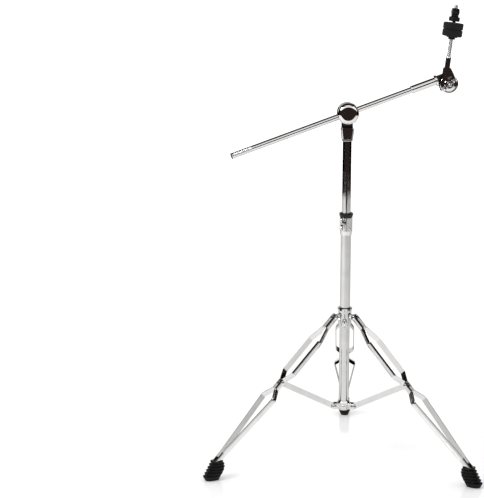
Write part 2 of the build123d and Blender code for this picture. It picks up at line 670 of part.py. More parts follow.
def ratchet_upper():
    """Rod side of the ratchet: a toothed disc with a block that holds the rod."""
    front = -DISC_FRONT
    # The outlines are (radius, distance in front of the column's axis).
    disc = Rot(90, 0, 0) * spun([
        (0, -DISC_BACK), (RATCHET_R, -DISC_BACK), (RATCHET_R, front - 1.6), (RATCHET_R - 0.5, front - 0.5),
        (RATCHET_R - 1.6, front), (0, front),
    ], arcs=(3,))
    dish = Rot(90, 0, 0) * spun([
        (9.0, front + 1), (9.0, front), (10.0, front - 0.9), (RATCHET_R - 4.0, front - 2.0),
        (RATCHET_R - 3.2, front), (RATCHET_R - 3.2, front + 1),
    ])
    left = -ROD_OFFSET - 7.6
    outline = make_face(Polyline((left, -4), (left, NECK_TOP - 2), (left + 2, NECK_TOP), (-1.5, NECK_TOP),
                                 (8.0, NECK_TOP - 14), (12.5, 8), close=True))
    neck = Pos(0, DISC_BACK, 0) * extrude(Plane.XZ * outline, DISC_BACK - DISC_FRONT)
    face = Pos(0, DISC_BACK, 0) * Rot(-90, 0, 0)
    half = toothed(disc + neck - dish, face, 11, RATCHET_R - 1, TOOTH_DEPTH, TOOTH_COUNT)
    half = half - rod_y(RATCHET_BOLT_R + RUN_GAP, -60, 40)
    return rod_place() * (half - Pos(-ROD_OFFSET, ROD_Y, 0) * rod_z(ROD_R, 12, 60))


def on_rod(shape):
    """Place a shape that is drawn about the rod's own axis."""
    return rod_place() * Pos(-ROD_OFFSET, ROD_Y, 0) * shape


def cymbal_rod():
    """Threaded rod with a chamfered tip."""
    rod = rod_z(ROD_R, 12, ROD_TOP)
    return on_rod(chamfer(rod.edges().group_by(Axis.Z)[-1], 1.0))


def rod_sleeve():
    """Thicker sleeve at the rod's foot."""
    return on_rod(spun([
        (ROD_R, NECK_TOP), (5.6, NECK_TOP), (5.6, SLEEVE_TOP - 2), (4.9, SLEEVE_TOP), (ROD_R, SLEEVE_TOP),
    ]))


SEAT_R = 12.0
SEAT_T = 2.0
LINER_TUBE_R = 5.4


def seat_washer():
    """Metal cup washer under the lower felt."""
    return on_rod(spun([
        (ROD_R, FELT_BASE - SEAT_T - 4), (7.5, FELT_BASE - SEAT_T - 4), (7.5, FELT_BASE - SEAT_T),
        (SEAT_R, FELT_BASE - SEAT_T), (SEAT_R, FELT_BASE), (ROD_R, FELT_BASE),
    ]))


def felt_sleeve():
    """Plastic sleeve on the rod, inside the felts."""
    return on_rod(tube_z(LINER_TUBE_R, ROD_R, FELT_BASE, FELT_BASE + 2 * FELT_H - 1.0))


def felt(base, hole_r):
    """Felt ring with softened edges."""
    disc = rod_z(FELT_R, base, base + FELT_H)
    disc = fillet(disc.edges(), 1.2)
    return on_rod(disc - rod_z(hole_r, base - 1, base + FELT_H + 1))


def lower_felt():
    return felt(FELT_BASE, LINER_TUBE_R)


def upper_felt():
    return felt(FELT_BASE + FELT_H + 0.1, LINER_TUBE_R + SIDE_GAP)


NUT_BASE = FELT_BASE + 2 * FELT_H + NUT_GAP + 0.1
NUT_FLANGE_R = 11.5
NUT_FLANGE_H = 9.0
NUT_BAR_LENGTH = 37.0
NUT_BAR_T = 14.0
NUT_BAR_H = 18.0
NUT_BAR_TURN = 88.0
INSERT_R = 6.0


def top_nut():
    """Plastic T nut: a round flange, and a domed bar across it."""
    flange = rod_z(NUT_FLANGE_R, NUT_BASE, NUT_BASE + NUT_FLANGE_H)
    flange = fillet(flange.edges(), 1.0)
    low = NUT_BASE + NUT_FLANGE_H
    half = NUT_BAR_LENGTH / 2
    outline = make_face([
        Polyline((-7, low - 2), (7, low - 2), (8, low + 5), (half, low + 8), (half, low + 12)).edges(),
        ThreePointArc((half, low + 12), (0, low + NUT_BAR_H), (-half, low + 12)),
        Polyline((-half, low + 12), (-half, low + 8), (-8, low + 5), (-7, low - 2)).edges(),
    ])
    bar = extrude(Plane.XZ * outline, NUT_BAR_T / 2, both=True)
    nut = flange + Rot(0, 0, NUT_BAR_TURN) * bar
    nut = nut - rod_z(INSERT_R, NUT_BASE - 1, NUT_BASE + 8)
    return on_rod(nut - rod_z(ROD_R + 0.1, NUT_BASE - 1, NUT_BASE + 40))


def top_nut_insert():
    """Threaded metal insert in the T nut."""
    return on_rod(tube_z(INSERT_R, ROD_R + RUN_GAP, NUT_BASE, NUT_BASE + 8))


def ratchet_washer():
    x, z = ratchet_centre()
    washer = rod_y(8.5, DISC_FRONT - 1.7, DISC_FRONT - 0.1) - rod_y(RATCHET_BOLT_R + SIDE_GAP, -60, 40)
    return Pos(x, 0, z) * washer


def ratchet_wing_nut():
    """Wing nut in front of the ratchet."""
    x, z = ratchet_centre()
    nut = wing_head(38, 15, 7.0, 10, 3.4) - rod_z(RATCHET_BOLT_R + RUN_GAP, -5, 40)
    return Pos(x, DISC_FRONT - 2.0, z) * Rot(90, 0, 0) * Rot(0, 0, 40) * nut


# ---- the assembly -------------------------------------------------------------------
def stand_nodes():
    """Every piece of the stand, by name, about the column's axis."""
    nodes = {
        "base_tube": base_tube(),
        "height_collar": height_collar(),
        "height_bushing": height_bushing(),
        "collar_rivet": collar_rivet(),
        "brace_hub": brace_hub(),
        "brace_hub_pins": brace_hub_pins(),
        "hub_set_screw": hub_set_screw(),
        "height_wing_bolt": height_wing_bolt(),
        "leg_collar": leg_collar(),
        "leg_collar_liner": leg_collar_liner(),
        "leg_hinge_pins": leg_hinge_pins(),
        "leg_wing_bolt": leg_wing_bolt(),
        "upper_tube": upper_tube(),
        "upper_tube_plug": upper_tube_plug(),
        "neck_ring": neck_ring(),
        "tilter_neck": tilter_neck(),
        "tilter_washer": tilter_washer(),
        "clamp_drum": clamp_drum(),
        "clamp_cap": clamp_cap(),
        "eye_bolt": eye_bolt(),
        "tilter_wing_nut": tilter_wing_nut(),
        "boom_tube": boom_tube(),
        "boom_end_plug": boom_end_plug(),
        "ratchet_socket": ratchet_socket(),
        "ratchet_lower": ratchet_lower(),
        "ratchet_bolt": ratchet_bolt(),
        "ratchet_upper": ratchet_upper(),
        "rod_sleeve": rod_sleeve(),
        "cymbal_rod": cymbal_rod(),
        "seat_washer": seat_washer(),
        "felt_sleeve": felt_sleeve(),
        "lower_felt": lower_felt(),
        "upper_felt": upper_felt(),
        "top_nut": top_nut(),
        "top_nut_insert": top_nut_insert(),
        "ratchet_washer": ratchet_washer(),
        "ratchet_wing_nut": ratchet_wing_nut(),
    }
    strip_near = leg_strip(-1)
    strip_far = leg_strip(1)
    rivets = leg_rivets()
    foot = rubber_foot()
    channel = brace()
    bush = brace_bush()
    for name, azimuth in LEG_AZIMUTHS.items():
        nodes[f"{name}_leg_strip_a"] = leg_place(azimuth) * strip_near
        nodes[f"{name}_leg_strip_b"] = leg_place(azimuth) * strip_far
        nodes[f"{name}_leg_rivets"] = leg_place(azimuth) * rivets
        nodes[f"{name}_foot"] = Rot(0, 0, azimuth) * foot
        nodes[f"{name}_brace"] = brace_place(azimuth) * channel
        nodes[f"{name}_brace_bush"] = brace_place(azimuth) * bush
    return nodes


def origin_shift(nodes):
    """From the column's axis to the bottom centre of the whole stand's box."""
    boxes = [node.bounding_box() for node in nodes.values()]
    low_x = min(box.min.X for box in boxes)
    high_x = max(box.max.X for box in boxes)
    low_y = min(box.min.Y for box in boxes)
    high_y = max(box.max.Y for box in boxes)
    low_z = min(box.min.Z for box in boxes)
    return Vector(-(low_x + high_x) / 2, -(low_y + high_y) / 2, -low_z)


NODES = stand_nodes()
SHIFT = origin_shift(NODES)

os.makedirs("parts", exist_ok=True)
for node_name, shape in NODES.items():
    export_step(Pos(SHIFT) * shape, f"parts/{node_name}.step")
print("origin shift", SHIFT)
print("leg collar travel", FOLD_TRAVEL)
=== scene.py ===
import json
import math

import bpy
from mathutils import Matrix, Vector, noise


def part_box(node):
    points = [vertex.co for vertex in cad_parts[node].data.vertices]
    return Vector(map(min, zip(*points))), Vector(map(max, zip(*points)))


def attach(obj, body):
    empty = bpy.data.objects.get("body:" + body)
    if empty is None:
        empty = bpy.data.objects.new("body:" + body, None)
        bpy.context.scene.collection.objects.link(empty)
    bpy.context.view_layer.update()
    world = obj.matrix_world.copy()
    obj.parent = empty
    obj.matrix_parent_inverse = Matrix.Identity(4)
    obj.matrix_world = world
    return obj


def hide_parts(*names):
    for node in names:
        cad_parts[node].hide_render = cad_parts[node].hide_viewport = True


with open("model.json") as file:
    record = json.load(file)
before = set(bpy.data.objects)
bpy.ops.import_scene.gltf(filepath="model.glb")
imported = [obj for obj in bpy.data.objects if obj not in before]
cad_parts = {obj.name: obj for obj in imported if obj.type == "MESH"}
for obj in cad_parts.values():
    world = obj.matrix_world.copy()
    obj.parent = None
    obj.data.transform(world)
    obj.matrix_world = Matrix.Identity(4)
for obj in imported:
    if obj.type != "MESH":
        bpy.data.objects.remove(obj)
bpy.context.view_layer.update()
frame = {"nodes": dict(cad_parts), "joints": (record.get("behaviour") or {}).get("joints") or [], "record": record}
nodes = frame["nodes"]

MM = 0.001


# ---- places read from the frame -----------------------------------------------------
def centre(node):
    """Middle of a CAD node's box, in metres."""
    low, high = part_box(node)
    return (low + high) / 2


def named(items, name):
    """The one item of a list in the frame that has a name."""
    return next(item for item in items if item["name"] == name)


def joint_axis(name):
    """Unit vector of a joint's axis at rest."""
    return Vector(named(frame["joints"], name)["axis"]).normalized()


COLUMN = centre("base_tube")
BOOM_DIRECTION = joint_axis("boom_slide")
ROD_DIRECTION = joint_axis("top_nut_spin")
UP = Vector((0, 0, 1))
FORWARD = Vector((0, -1, 0))
BACKWARD = Vector((0, 1, 0))


def round_node(node, direction):
    """(middle, radius, length) of a round node whose axis lies in the X-Z plane."""
    low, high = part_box(node)
    radius = (high.y - low.y) / 2
    across = abs(direction.x)
    along = abs(direction.z)
    if across > along:
        length = (high.x - low.x - 2 * radius * along) / across
    else:
        length = (high.z - low.z - 2 * radius * across) / along
    return (low + high) / 2, radius, length


# ---- material graphs ----------------------------------------------------------------
class Graph:
    """A node tree with short calls that add and link nodes."""

    def __init__(self, tree):
        self.tree = tree

    def add(self, kind, settings=(), **inputs):
        """Adds a node with these settings; inputs are its unlinked sockets, with _ for a space."""
        node = self.tree.nodes.new(kind)
        for key, value in dict(settings).items():
            setattr(node, key, value)
        for key, value in inputs.items():
            node.inputs[key.replace("_", " ")].default_value = value
        return node

    def link(self, source, target):
        """Links an output to an input."""
        self.tree.links.new(source, target)

    def place(self, axis=UP, stretch=1.0):
        """Object coordinates turned so that Z runs along axis, and squeezed along it."""
        coordinates = self.add("ShaderNodeTexCoord")
        mapping = self.add("ShaderNodeMapping", {"vector_type": "POINT"})
        mapping.inputs["Rotation"].default_value = axis.rotation_difference(UP).to_euler()
        mapping.inputs["Scale"].default_value = (1, 1, stretch)
        self.link(coordinates.outputs["Object"], mapping.inputs["Vector"])
        return mapping.outputs["Vector"]

    def noise(self, vector, scale, detail, roughness=0.55):
        """Noise value from 0 to 1."""
        node = self.add("ShaderNodeTexNoise", Scale=scale, Detail=detail, Roughness=roughness)
        self.link(vector, node.inputs["Vector"])
        return node.outputs["Fac"]

    def ramp(self, value, stops):
        """A colour ramp; each stop is (position, colour)."""
        node = self.add("ShaderNodeValToRGB")
        band = node.color_ramp
        while len(band.elements) < len(stops):
            band.elements.new(1.0)
        for element, (position, colour) in zip(band.elements, stops):
            element.position = position
            element.color = (*colour, 1.0)
        self.link(value, node.inputs["Fac"])
        return node.outputs["Color"]

    def span(self, value, low, high, source=(0.0, 1.0)):
        """Maps a value from the source interval to the interval low..high."""
        node = self.add("ShaderNodeMapRange")
        for key, number in zip(("From Min", "From Max", "To Min", "To Max"), (*source, low, high)):
            node.inputs[key].default_value = number
        self.link(value, node.inputs["Value"])
        return node.outputs["Result"]

    def combine(self, operation, first, second):
        """Sum, difference or product of two linked values."""
        node = self.add("ShaderNodeMath", {"operation": operation})
        self.link(first, node.inputs[0])
        self.link(second, node.inputs[1])
        return node.outputs["Value"]

    def mix(self, blend, first, second, factor=None):
        """Blend of two colours, at full strength unless a factor is linked."""
        node = self.add("ShaderNodeMix", {"data_type": "RGBA", "blend_type": blend})
        node.inputs["Factor"].default_value = 1.0
        if factor is not None:
            self.link(factor, node.inputs["Factor"])
        self.link(first, node.inputs["A"])
        if isinstance(second, tuple):
            node.inputs["B"].default_value = (*second, 1.0)
        else:
            self.link(second, node.inputs["B"])
        return node.outputs["Result"]

    def bump(self, height, strength, distance, under=None):
        """Surface normal from a height, on top of another bump if one is given."""
        node = self.add("ShaderNodeBump", Strength=strength, Distance=distance)
        self.link(height, node.inputs["Height"])
        if under is not None:
            self.link(under, node.inputs["Normal"])
        return node.outputs["Normal"]


class Finish(Graph):
    """A material's graph, ended by one principled shader."""

    def __init__(self, name):
        self.material = bpy.data.materials.new(name)
        self.material.use_nodes = True
        super().__init__(self.material.node_tree)
        self.shader = self.tree.nodes["Principled BSDF"]

    def finish(self, colour, roughness, normal, **fixed):
        """Links the three varying values and sets the uniform ones on the shader itself."""
        self.link(colour, self.shader.inputs["Base Color"])
        self.link(roughness, self.shader.inputs["Roughness"])
        self.link(normal, self.shader.inputs["Normal"])
        for key, value in fixed.items():
            self.shader.inputs[key.replace("_", " ")].default_value = value
        return self.material


def grey(level):
    """Neutral colour of one level."""
    return level, level, level


# ---- materials ----------------------------------------------------------------------
CHROME_TINT = (0.72, 0.715, 0.71)
# Dark specular tint: it darkens the chrome's reflection towards its outline, painted shade along the edges.
CHROME_PAINTED_EDGE_SHADE = (0.3, 0.3, 0.3, 1.0)
CHROME_DULLER = 0.93


def chrome(name, axis=UP, shine=0.035, peel=0.25, lines=0.15):
    """Bright plating: smudges change its gloss, fine polishing lines run along axis; a dark specular tint paints
    shade along its outline.
    """
    graph = Finish(name)
    plain = graph.place(axis)
    drawn = graph.place(axis, stretch=0.03)
    smudge = graph.noise(plain, scale=38.0, detail=5.0)
    grain = graph.noise(drawn, scale=2600.0, detail=3.0)
    ripple = graph.noise(plain, scale=210.0, detail=2.0)
    dark = tuple(CHROME_DULLER * value for value in CHROME_TINT)
    colour = graph.ramp(smudge, ((0.35, dark), (0.62, CHROME_TINT)))
    smudged = graph.span(smudge, shine + 0.05, shine, source=(0.3, 0.62))
    drawn_lines = graph.span(grain, 0.0, 0.03, source=(0.45, 0.75))
    gloss = graph.combine("ADD", smudged, drawn_lines)
    normal = graph.bump(ripple, strength=peel, distance=0.02 * MM)
    normal = graph.bump(grain, strength=lines, distance=0.004 * MM, under=normal)
    # The specular tint paints shade along the chrome's outline.
    return graph.finish(colour, gloss, normal, Metallic=1.0, Specular_Tint=CHROME_PAINTED_EDGE_SHADE)


def threaded_steel():
    """Bright zinc on rolled threads: duller than the chrome, with darker grime in patches."""
    graph = Finish("threaded_steel")
    place = graph.place()
    grime = graph.noise(place, scale=420.0, detail=6.0)
    grain = graph.noise(place, scale=2600.0, detail=3.0)
    colour = graph.ramp(grime, ((0.36, (0.42, 0.41, 0.40)), (0.6, (0.78, 0.78, 0.77))))
    gloss = graph.span(grime, 0.34, 0.16, source=(0.3, 0.65))
    normal = graph.bump(grain, strength=0.3, distance=0.02 * MM)
    return graph.finish(colour, gloss, normal, Metallic=1.0)


RUB_DIRECTION = Vector((1, 0.4, 0.2)).normalized()
PLASTIC_WORN = 1.9


def black_plastic(name, base=0.004, low=0.38, high=0.55):
    """Moulded black plastic with a fine spark-eroded texture and faint rub marks."""
    graph = Finish(name)
    place = graph.place()
    cloud = graph.noise(place, scale=60.0, detail=4.0)
    grain = graph.noise(place, scale=1500.0, detail=2.0)
    rub = graph.noise(graph.place(RUB_DIRECTION, stretch=0.08), scale=900.0, detail=3.0)
    colour = graph.ramp(cloud, ((0.3, grey(base)), (0.75, grey(PLASTIC_WORN * base))))
    clouded = graph.span(cloud, low, high, source=(0.3, 0.7))
    rubbed = graph.span(rub, 0.0, 0.12, source=(0.55, 0.75))
    gloss = graph.combine("SUBTRACT", clouded, rubbed)
    normal = graph.bump(grain, strength=0.35, distance=0.05 * MM)
    return graph.finish(colour, gloss, normal, IOR=1.5, Specular_IOR_Level=0.3)


def foot_rubber():
    """Moulded rubber: nearly black, matt, a little dusty in patches."""
    graph = Finish("foot_rubber")
    place = graph.place()
    dust = graph.noise(place, scale=130.0, detail=6.0)
    grain = graph.noise(place, scale=1900.0, detail=3.0)
    colour = graph.ramp(dust, ((0.35, grey(0.003)), (0.78, (0.012, 0.012, 0.011))))
    gloss = graph.span(dust, 0.55, 0.78, source=(0.3, 0.7))
    normal = graph.bump(grain, strength=0.4, distance=0.06 * MM)
    return graph.finish(colour, gloss, normal, IOR=1.52, Specular_IOR_Level=0.2)


def black_felt():
    """Pressed wool: matt black with tangled fibres and a very faint sheen."""
    graph = Finish("black_felt")
    place = graph.place()
    tangle = graph.noise(place, scale=900.0, detail=8.0, roughness=0.7)
    clump = graph.noise(place, scale=190.0, detail=4.0)
    mixed = graph.combine("MULTIPLY", tangle, graph.span(clump, 0.7, 1.25))
    colour = graph.ramp(mixed, ((0.3, grey(0.002)), (0.62, grey(0.009)), (0.8, grey(0.03))))
    gloss = graph.span(mixed, 0.98, 0.84, source=(0.3, 0.8))
    normal = graph.bump(tangle, strength=0.9, distance=0.35 * MM)
    return graph.finish(colour, gloss, normal,
                        Sheen_Weight=0.03, Sheen_Roughness=0.6, Specular_IOR_Level=0.25)


def floor_white():
    """White studio floor with a low polish."""
    graph = Finish("studio_floor")
    cloud = graph.noise(graph.place(), scale=1.5, detail=3.0)
    colour = graph.ramp(cloud, ((0.3, grey(0.80)), (0.7, grey(0.82))))
    gloss = graph.span(cloud, 0.10, 0.13)
    normal = graph.bump(cloud, strength=0.05, distance=0.1 * MM)
    return graph.finish(colour, gloss, normal, IOR=1.45)


BOOM_NODES = ("boom_tube", "ratchet_socket")
ROD_NODES = ("cymbal_rod", "rod_sleeve")


def finish_key(node):
    """The finish that a CAD node gets: its record slot, or one drawn along its own tilt."""
    if node in BOOM_NODES:
        return "chrome_boom"
    if node in ROD_NODES:
        return "chrome_rod"
    return nodes[node].data.materials[0].name.split(".")[0]


def dress_cad_nodes():
    """Gives every CAD node its detailed material and returns all the finishes."""
    finishes = {
        "chrome_tube": chrome("chrome_column"),
        "chrome_strip": chrome("chrome_strip", shine=0.07, peel=0.5, lines=0.3),
        "chrome_casting": chrome("chrome_casting", shine=0.04, peel=0.6, lines=0.05),
        "chrome_hardware": chrome("chrome_hardware", shine=0.06, peel=0.5, lines=0.2),
        "threaded_steel": threaded_steel(),
        "black_nylon": black_plastic("black_nylon", base=0.005, low=0.36, high=0.5),
        "black_plastic": black_plastic("black_plastic"),
        "black_felt": black_felt(),
        "foot_rubber": foot_rubber(),
        "chrome_boom": chrome("chrome_boom", BOOM_DIRECTION),
        "chrome_rod": chrome("chrome_rod", ROD_DIRECTION),
    }
    for name, node in nodes.items():
        material = finishes[finish_key(name)]
        for index in range(len(node.data.materials)):
            node.data.materials[index] = material
    return finishes


# ---- mesh building ------------------------------------------------------------------
SMOOTH_ANGLE = 35


def link_object(name, data):
    """New object in the scene for a mesh, a light or a camera."""
    made = bpy.data.objects.new(name, data)
    bpy.context.scene.collection.objects.link(made)
    return made


def skin(name, rings, material, capped=True):
    """Mesh object over rings of points, which all have the same number of points.

    Its first and last rings are capped, or else joined to each other.
    """
    count = len(rings[0])
    points = [point for ring in rings for point in ring]
    faces = []
    for band in range(len(rings) - 1 if capped else len(rings)):
        this = band * count
        following = (band + 1) % len(rings) * count
        for column in range(count):
            after = (column + 1) % count
            faces.append((this + column, this + after, following + after, following + column))
    if capped:
        last = (len(rings) - 1) * count
        faces.append(tuple(reversed(range(count))))
        faces.append(tuple(range(last, last + count)))
    mesh = bpy.data.meshes.new(name)
    mesh.from_pydata(points, [], faces)
    mesh.update()
    mesh.shade_smooth()
    mesh.set_sharp_from_angle(angle=math.radians(SMOOTH_ANGLE))
    mesh.materials.append(material)
    return link_object(name, mesh)


def turned_rings(outline, origin, direction, segments, shape=None):
    """Rings about an axis from an outline of (radius, along); shape may change each radius."""
    turn = UP.rotation_difference(direction).to_matrix()
    rings = []
    for radius, along in outline:
        ring = []
        for step in range(segments):
            angle = 2 * math.pi * step / segments
            here = radius + (shape(angle, along, radius) if shape else 0.0)
            spoke = Vector((here * math.cos(angle), here * math.sin(angle), along))
            ring.append(origin + turn @ spoke)
        rings.append(ring)
    return rings


def join_pieces(pieces):
    """Joins mesh objects into the first one."""
    with bpy.context.temp_override(active_object=pieces[0], selected_editable_objects=pieces,
                                   selected_objects=pieces):
        bpy.ops.object.join()
    return pieces[0]


def settle(piece, body, node):
    """Rides a new piece on its body in place of a CAD node."""
    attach(piece, body)
    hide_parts(node)


# ---- threads ------------------------------------------------------------------------
# A groove's depth is a share of the pitch, a rounding under 1 narrows the crests, and the
# chamfer is the slope of a rod's last turn.
THREAD_SEGMENTS = 40
ROWS_PER_TURN = 8
THREAD_DEPTH = 0.54
THREAD_CHAMFER = 0.7
THREAD_ROUNDING = 0.8


def thread_outline(radius, start, end, pitch):
    """Outline rows along a threaded stretch, with a small chamfer at its far end."""
    rows = int((end - start) / pitch * ROWS_PER_TURN)
    outline = []
    for row in range(rows + 1):
        along = start + (end - start) * row / rows
        chamfer = max(0.0, along - (end - pitch)) * THREAD_CHAMFER
        outline.append((radius - chamfer, along))
    return outline


def thread_shape(start, end, pitch):
    """Radius change of a rolled thread: a rounded ridge that climbs one pitch a turn."""
    depth = THREAD_DEPTH * pitch

    def shape(angle, along, radius):
        """Change at one place; it is the same whatever the radius."""
        if along < start or along > end:
            return 0.0
        phase = (along / pitch - angle / (2 * math.pi)) % 1.0
        fade = min(1.0, (along - start) / pitch)
        groove = (0.5 - 0.5 * math.cos(2 * math.pi * phase)) ** THREAD_ROUNDING
        return -depth * fade * groove
    return shape


def threaded_rod(name, radius, smooth, thread, origin, direction, material):
    """Rod along direction: smooth at some distances, then a thread of (start, end, pitch)."""
    outline = [(radius, along) for along in smooth] + thread_outline(radius, *thread)
    shape = thread_shape(*thread)
    return skin(name, turned_rings(outline, origin, direction, THREAD_SEGMENTS, shape), material)


# ---- cymbal rod, bolts and boom -----------------------------------------------------
ROD_PITCH = 1.25 * MM
SHANK_GAP = 0.2 * MM


def cymbal_rod(finishes):
    """Rod that is threaded from the sleeve at its foot up to its tip."""
    middle, radius, length = round_node("cymbal_rod", ROD_DIRECTION)
    foot = middle - ROD_DIRECTION * (length / 2)
    sleeve_middle, _, sleeve_length = round_node("rod_sleeve", ROD_DIRECTION)
    start = (sleeve_middle - foot).dot(ROD_DIRECTION) + sleeve_length / 2
    smooth = (0.0, 0.5 * start, start - SHANK_GAP)
    rod = threaded_rod("cymbal_rod_threaded", radius, smooth, (start, length, ROD_PITCH),
                       foot, ROD_DIRECTION, finishes["chrome_rod"])
    settle(rod, "cymbal_arm", "cymbal_rod")


# A bolt's PLAIN is the share of its length that comes before the thread; the hexagon's shares
# are of half the width of its CAD box.
RATCHET_BOLT_RADIUS = 3.5 * MM
RATCHET_BOLT_PITCH = 1.1 * MM
RATCHET_BOLT_PLAIN = 0.5
HEX_SIDES = 6
HEX_LENGTH = 4.5 * MM
HEX_CHAMFER = 0.6 * MM
HEX_FACE_SHARE = 0.80
HEX_CORNER_SHARE = 0.98


def ratchet_bolt(finishes):
    """Hexagon bolt through the ratchet, its thread showing past the wing nut."""
    low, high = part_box("ratchet_bolt")
    middle = (low + high) / 2
    corner = (high.x - low.x) / 2
    length = high.y - low.y
    origin = Vector((middle.x, high.y, middle.z))
    thread = (RATCHET_BOLT_PLAIN * length, length, RATCHET_BOLT_PITCH)
    shank = threaded_rod("ratchet_bolt_threaded", RATCHET_BOLT_RADIUS, (HEX_LENGTH - SHANK_GAP,),
                         thread, origin, FORWARD, finishes["threaded_steel"])
    crown = [
        (HEX_FACE_SHARE * corner, 0.0),
        (HEX_CORNER_SHARE * corner, HEX_CHAMFER),
        (HEX_CORNER_SHARE * corner, HEX_LENGTH),
    ]
    head = skin("ratchet_bolt_head", turned_rings(crown, origin, FORWARD, HEX_SIDES),
                finishes["threaded_steel"])
    settle(join_pieces([shank, head]), "tilter", "ratchet_bolt")


EYE_INNER = 6.42 * MM
EYE_OUTER = 9.4 * MM
EYE_HALF_WIDTH = 5.0 * MM
EYE_CHAMFER = 0.6 * MM
EYE_SEGMENTS = 64
EYE_BOLT_RADIUS = 4.0 * MM
EYE_BOLT_PITCH = 1.25 * MM
EYE_BOLT_START = EYE_INNER + 1.0 * MM
EYE_BOLT_PLAIN = 0.45


def eye_bolt(finishes):
    """Eye around the boom with a threaded shank that runs back through the wing nut."""
    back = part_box("eye_bolt")[1].y
    clamp = centre("clamp_drum")
    middle = Vector((clamp.x, centre("boom_tube").y, clamp.z))
    section = [
        (EYE_INNER, -EYE_HALF_WIDTH),
        (EYE_OUTER - EYE_CHAMFER, -EYE_HALF_WIDTH),
        (EYE_OUTER, -EYE_HALF_WIDTH + EYE_CHAMFER),
        (EYE_OUTER, EYE_HALF_WIDTH - EYE_CHAMFER),
        (EYE_OUTER - EYE_CHAMFER, EYE_HALF_WIDTH),
        (EYE_INNER, EYE_HALF_WIDTH),
    ]
    eye = skin("eye_bolt_threaded", turned_rings(section, middle, BOOM_DIRECTION, EYE_SEGMENTS),
               finishes["threaded_steel"], capped=False)
    length = back - middle.y
    thread = (EYE_BOLT_PLAIN * length, length, EYE_BOLT_PITCH)
    shank = threaded_rod("eye_bolt_shank", EYE_BOLT_RADIUS, (EYE_BOLT_START,),
                         thread, middle, BACKWARD, finishes["threaded_steel"])
    settle(join_pieces([eye, shank]), "boom_clamp", "eye_bolt")


BOOM_WALL = 1.2 * MM
BOOM_EDGE = 0.3 * MM
BOOM_SEGMENTS = 180
KNURL_START = 4 * MM
KNURL_END = 46 * MM
KNURL_MARGIN = 0.1 * MM
KNURL_DEPTH = 0.22 * MM
KNURL_FADE = 1 * MM
KNURL_COUNT = 30
KNURL_ROWS = 190


def knurl_shape(angle, along, radius):
    """Radius change of the diamond knurl on the boom's tail."""
    if along < KNURL_START or along > KNURL_END:
        return 0.0
    fade = min(1.0, (along - KNURL_START) / KNURL_FADE, (KNURL_END - along) / KNURL_FADE)
    twist = along / radius
    one = abs(math.sin(KNURL_COUNT * (angle + twist) / 2))
    other = abs(math.sin(KNURL_COUNT * (angle - twist) / 2))
    return -KNURL_DEPTH * fade * (1 - min(one, other))


def boom(finishes):
    """Boom tube with a knurled grip at its tail."""
    middle, radius, length = round_node("boom_tube", BOOM_DIRECTION)
    tail = middle - BOOM_DIRECTION * (length / 2)
    bore = radius - BOOM_WALL
    outline = [
        (bore, 0.0),
        (radius - BOOM_EDGE, 0.0),
        (radius, BOOM_EDGE),
        (radius, KNURL_START - KNURL_MARGIN),
    ]
    for row in range(KNURL_ROWS + 1):
        outline.append((radius, KNURL_START + (KNURL_END - KNURL_START) * row / KNURL_ROWS))
    outline += [
        (radius, KNURL_END + KNURL_MARGIN),
        (radius, length / 2),
        (radius, length),
        (bore, length),
    ]
    rings = turned_rings(outline, tail, BOOM_DIRECTION, BOOM_SEGMENTS, knurl_shape)
    tube = skin("boom_tube_knurled", rings, finishes["chrome_boom"], capped=False)
    settle(tube, "boom", "boom_tube")


# ---- felts --------------------------------------------------------------------------
FELT_SEGMENTS = 200
FELT_STEP = 0.7 * MM
FELT_EDGE = 2.4 * MM
FELT_EDGE_TURN = 15
FELT_HOLE_EDGE = 0.8 * MM
FELT_CLEARANCE = 0.4 * MM
FELT_WEAR = 0.9
# Lumps are (waves per metre, weight).
FELT_LUMPS = ((150, 0.45), (700, 0.3), (1900, 0.25))
FELT_DEPTH = 0.35 * MM
FELT_RIM = 4 * MM


def felt_outline(radius, hole, height):
    """Closed outline of a felt ring with soft worn edges, walked in nearly equal steps."""
    lower_edge = []
    for turn in range(0, 91, FELT_EDGE_TURN):
        angle = math.radians(turn)
        across = radius - FELT_EDGE * (1 - math.sin(angle))
        lower_edge.append((across, FELT_EDGE * (1 - math.cos(angle))))
    upper_edge = [(across, height - along) for across, along in reversed(lower_edge)]
    path = [(hole, FELT_HOLE_EDGE), (hole + FELT_HOLE_EDGE, 0.0)]
    path += lower_edge + upper_edge
    path += [(hole + FELT_HOLE_EDGE, height), (hole, height - FELT_HOLE_EDGE)]
    outline = []
    for here, after in zip(path, path[1:] + path[:1]):
        parts = max(1, round(math.dist(here, after) / FELT_STEP))
        for part in range(parts):
            share = part / parts
            outline.append((here[0] + (after[0] - here[0]) * share,
                            here[1] + (after[1] - here[1]) * share))
    return outline


def worn_point(point, middle, rim, shift):
    """A felt point pulled towards the middle by its lumps, and less so near the hole."""
    away = point - middle
    side = away - ROD_DIRECTION * away.dot(ROD_DIRECTION)
    lump = sum(noise.noise(point * scale + shift) * weight for scale, weight in FELT_LUMPS)
    depth = max(0.0, (FELT_WEAR + lump) * FELT_DEPTH)
    return point - away.normalized() * depth * min(1.0, side.length / rim)


def felt(name, node, body, seed, finishes):
    """Pressed felt ring around the plastic sleeve, with lumps of three sizes."""
    middle, radius, height = round_node(node, ROD_DIRECTION)
    hole = round_node("felt_sleeve", ROD_DIRECTION)[1] + FELT_CLEARANCE
    origin = middle - ROD_DIRECTION * (height / 2)
    shift = Vector((seed, 0, 0))
    outline = felt_outline(radius, hole, height)
    rings = turned_rings(outline, origin, ROD_DIRECTION, FELT_SEGMENTS)
    worn = [[worn_point(point, middle, radius - FELT_RIM, shift) for point in ring] for ring in rings]
    piece = skin(name, worn, finishes["black_felt"], capped=False)
    settle(piece, body, node)


